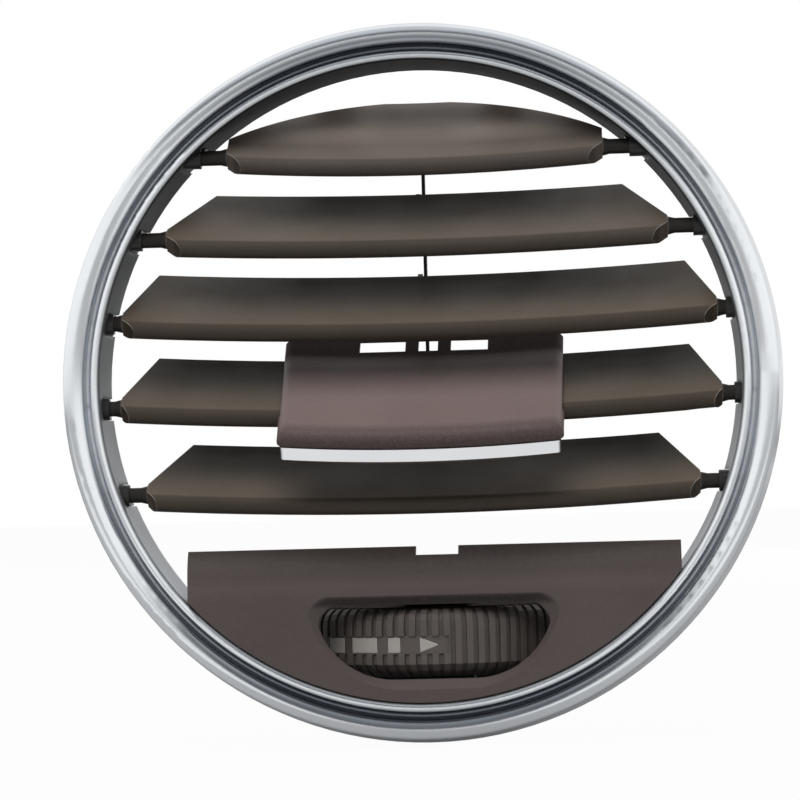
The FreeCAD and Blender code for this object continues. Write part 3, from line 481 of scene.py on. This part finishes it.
def floor_material():
    """Pale paper. The camera sees it nearly white, and a patch in front of the part shines in the tab's trim."""
    m = Mat("floor_paper")
    tone = m.ramp(m.noise(6.0, 3.0), [(0.3, (0.34, 0.34, 0.34)), (0.7, (0.38, 0.38, 0.38))])
    m.set(Base_Color=tone, Roughness=0.9, Specular_IOR_Level=0.1)
    path = m.add("ShaderNodeLightPath")
    patch = m.window(m.axis(1), (-0.085, -0.070), (-0.026, -0.034))
    shine = m.math("ADD", m.product(patch, PATCH_SHINE), FLOOR_SHINE)
    seen = m.math("ADD", m.product(path.outputs["Is Camera Ray"], CAMERA_GLOW),
                  m.product(path.outputs["Is Glossy Ray"], shine))
    glow = m.add("ShaderNodeEmission")
    glow.inputs["Strength"].default_value = 1.0
    m.link(m.blend(seen, m.bsdf.outputs[0], glow.outputs[0]), m.out.inputs["Surface"])
    return m.mat


def floor():
    mesh = bpy.data.meshes.new("floor")
    s = FLOOR_HALF
    z = CAD_BOX[0][2] - FLOOR_GAP
    mesh.from_pydata([(-s, -s, z), (s, -s, z), (s, s, z), (-s, s, z)], [], [(0, 1, 2, 3)])
    obj = bpy.data.objects.new("floor", mesh)
    bpy.context.scene.collection.objects.link(obj)
    mesh.materials.append(floor_material())


def world():
    """Soft room light from above and in front; the camera sees plain white.

    Glossy rays see a white strip to the sides and dimmer room above and below it in front,
    and a plain wall behind, so that the ring shows light and dark bands.
    """
    studio = bpy.data.worlds.new("studio")
    bpy.context.scene.world = studio
    studio.use_nodes = True
    n = Nodes(studio.node_tree)
    out = n.add("ShaderNodeOutputWorld")
    split = n.add("ShaderNodeSeparateXYZ")
    n.link(n.add("ShaderNodeTexCoord").outputs["Generated"], split.inputs[0])
    x, y, z = split.outputs
    level = n.span(z, -1.0, 1.0)

    def sky(stops):
        shader = n.add("ShaderNodeBackground")
        shader.inputs["Strength"].default_value = 1.0
        n.link(n.ramp(level, stops), shader.inputs["Color"])
        return shader.outputs[0]

    white = n.add("ShaderNodeBackground")
    white.inputs["Color"].default_value = (1, 1, 1, 1)
    white.inputs["Strength"].default_value = 1.0
    white = white.outputs[0]

    soft = sky([(0.0, (0.04, 0.04, 0.04)), (0.42, (0.045, 0.045, 0.045)), (0.5, (0.11, 0.11, 0.112)),
                (0.62, (0.24, 0.242, 0.245)), (0.78, (0.36, 0.362, 0.365))])
    dim = sky([(0.30, (0.16, 0.185, 0.22)), (0.50, (0.30, 0.32, 0.35)), (0.60, (0.10, 0.105, 0.115)),
               (0.82, (0.12, 0.126, 0.138)), (0.92, (0.60, 0.62, 0.65))])
    behind = sky([(0.30, (0.45, 0.48, 0.52)), (0.50, (1.0, 1.0, 1.0))])
    off_strip = n.span(n.math("SUBTRACT", n.size(z), n.product(n.size(x), 0.6)), 0.06, 0.28)
    front = n.blend(off_strip, white, dim)
    shine = n.blend(n.span(y, -0.15, 0.25), front, behind)
    path = n.add("ShaderNodeLightPath")
    seen = n.blend(path.outputs["Is Glossy Ray"], soft, shine)
    n.link(n.blend(path.outputs["Is Camera Ray"], seen, white), out.inputs["Surface"])


def lamp(name, place, width, height, power):
    """Area lamp aimed at the part; the plating doesn't mirror it."""
    data = bpy.data.lights.new(name, "AREA")
    data.shape = "RECTANGLE"
    data.size = width
    data.size_y = height
    data.energy = power
    obj = bpy.data.objects.new(name, data)
    obj.location = place
    obj.visible_glossy = False
    obj.rotation_euler = (-Vector(place)).to_track_quat("-Z", "Y").to_euler()
    bpy.context.scene.collection.objects.link(obj)


YAW = math.radians(2.75)
LIFT = math.radians(-1.4)
ROLL = math.radians(-1.5)
REACH = 0.556
TARGET = Vector((0, PIN_Y, 0))
LENS = 171.5
SENSOR = 36.0
IMAGE = 800
SHIFT = (-20.6, -18.6)      # image pixels


def camera():
    """The photograph's view: slightly from the right and from below, turned by 1.5 degrees."""
    back = Vector((math.sin(YAW) * math.cos(LIFT), -math.cos(YAW) * math.cos(LIFT), math.sin(LIFT)))
    level_right = (-back).cross(Vector((0, 0, 1))).normalized()
    level_up = level_right.cross(-back)
    right = math.cos(ROLL) * level_right + math.sin(ROLL) * level_up
    up = -math.sin(ROLL) * level_right + math.cos(ROLL) * level_up
    data = bpy.data.cameras.new("photo_camera")
    data.sensor_width = SENSOR
    data.lens = LENS
    data.shift_x = SHIFT[0] / IMAGE
    data.shift_y = SHIFT[1] / IMAGE
    data.clip_start = 0.01
    obj = bpy.data.objects.new("photo_camera", data)
    matrix = Matrix((right, up, back)).transposed().to_4x4()
    matrix.translation = TARGET + back * REACH
    obj.matrix_world = matrix
    bpy.context.scene.collection.objects.link(obj)
    bpy.context.scene.camera = obj


floor()
world()
camera()
lamp("key_front_top", (-0.12, -0.63, 1.02), 1.0, 1.2, 14.5)
lamp("fill_right", (0.8, -0.6, 0.4), 0.6, 0.6, 1.0)
lamp("back_soft", (0.35, 1.0, 0.34), 0.8, 0.8, 7.0)
bpy.context.scene.view_settings.view_transform = "Standard"
